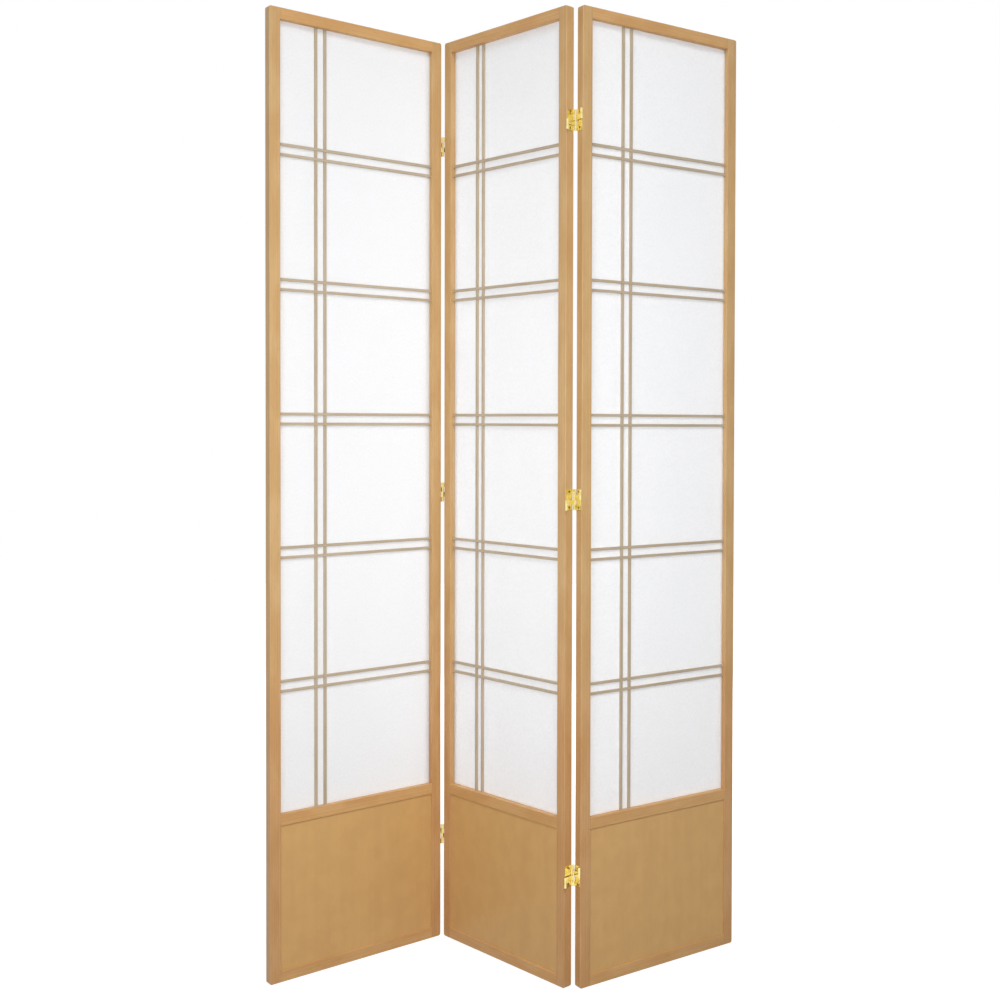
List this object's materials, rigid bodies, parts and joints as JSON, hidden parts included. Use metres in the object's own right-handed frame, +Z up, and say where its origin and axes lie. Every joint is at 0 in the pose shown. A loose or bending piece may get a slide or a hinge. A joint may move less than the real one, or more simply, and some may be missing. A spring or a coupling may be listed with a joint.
{
  "type": "folding shoji screen",
  "caption": "Free-standing folding screen of tall papered panels in pale wood frames with paired lattice bars and a kick board, joined by two-way brass hinges; it divides a room and folds flat.",
  "frame": {"origin": "centre of the underside of the middle panel's bottom rail, on the floor", "axes": "+Z up, +X to the right of a viewer in front of the standing screen, +Y away from that viewer"},
  "size_m": [1.0342, 0.3271, 2.134],
  "materials": {
    "frame_wood": "satin lacquer",
    "board_wood": "satin lacquer",
    "lattice_wood": "satin lacquer",
    "paper": "matte fibre paper",
    "brass": "bright lacquered",
    "screw_brass": "bright"
  },
  "bodies": {
    "left_panel": {"left_panel_left_stile": "frame_wood", "left_panel_right_stile": "frame_wood", "left_panel_bottom_rail": "frame_wood", "left_panel_middle_rail": "frame_wood", "left_panel_top_rail": "frame_wood", "left_panel_kick_board": "board_wood", "left_panel_paper": "paper", "left_panel_upright_bars": "lattice_wood", "left_panel_cross_bars_1": "lattice_wood", "left_panel_cross_bars_2": "lattice_wood", "left_panel_cross_bars_3": "lattice_wood", "left_panel_cross_bars_4": "lattice_wood", "left_panel_cross_bars_5": "lattice_wood", "left_bottom_hinge_left_leaf": "brass", "left_middle_hinge_left_leaf": "brass", "left_top_hinge_left_leaf": "brass", "left_hinge_links": "brass", "left_hinge_pins": "brass", "left_hinge_screws": "screw_brass"},
    "middle_panel": {"middle_panel_left_stile": "frame_wood", "middle_panel_right_stile": "frame_wood", "middle_panel_bottom_rail": "frame_wood", "middle_panel_middle_rail": "frame_wood", "middle_panel_top_rail": "frame_wood", "middle_panel_kick_board": "board_wood", "middle_panel_paper": "paper", "middle_panel_upright_bars": "lattice_wood", "middle_panel_cross_bars_1": "lattice_wood", "middle_panel_cross_bars_2": "lattice_wood", "middle_panel_cross_bars_3": "lattice_wood", "middle_panel_cross_bars_4": "lattice_wood", "middle_panel_cross_bars_5": "lattice_wood", "left_bottom_hinge_right_leaf": "brass", "left_middle_hinge_right_leaf": "brass", "left_top_hinge_right_leaf": "brass", "right_bottom_hinge_left_leaf": "brass", "right_middle_hinge_left_leaf": "brass", "right_top_hinge_left_leaf": "brass", "middle_hinge_links": "brass", "middle_hinge_pins": "brass", "middle_hinge_screws": "screw_brass"},
    "right_panel": {"right_panel_left_stile": "frame_wood", "right_panel_right_stile": "frame_wood", "right_panel_bottom_rail": "frame_wood", "right_panel_middle_rail": "frame_wood", "right_panel_top_rail": "frame_wood", "right_panel_kick_board": "board_wood", "right_panel_paper": "paper", "right_panel_upright_bars": "lattice_wood", "right_panel_cross_bars_1": "lattice_wood", "right_panel_cross_bars_2": "lattice_wood", "right_panel_cross_bars_3": "lattice_wood", "right_panel_cross_bars_4": "lattice_wood", "right_panel_cross_bars_5": "lattice_wood", "right_bottom_hinge_right_leaf": "brass", "right_middle_hinge_right_leaf": "brass", "right_top_hinge_right_leaf": "brass", "right_hinge_links": "brass", "right_hinge_pins": "brass", "right_hinge_screws": "screw_brass"}
  },
  "joints": [
    {"name": "left_fold", "type": "hinge", "parent": "middle_panel", "child": "left_panel", "pos_m": [-0.16793, 0.14298, 0], "axis": [0, 0, 1], "range_deg": [-85.2, 94.8]},
    {"name": "right_fold", "type": "hinge", "parent": "middle_panel", "child": "right_panel", "pos_m": [0.16793, -0.14298, 0], "axis": [0, 0, 1], "range_deg": [-80.9, 99.1]}
  ]
}
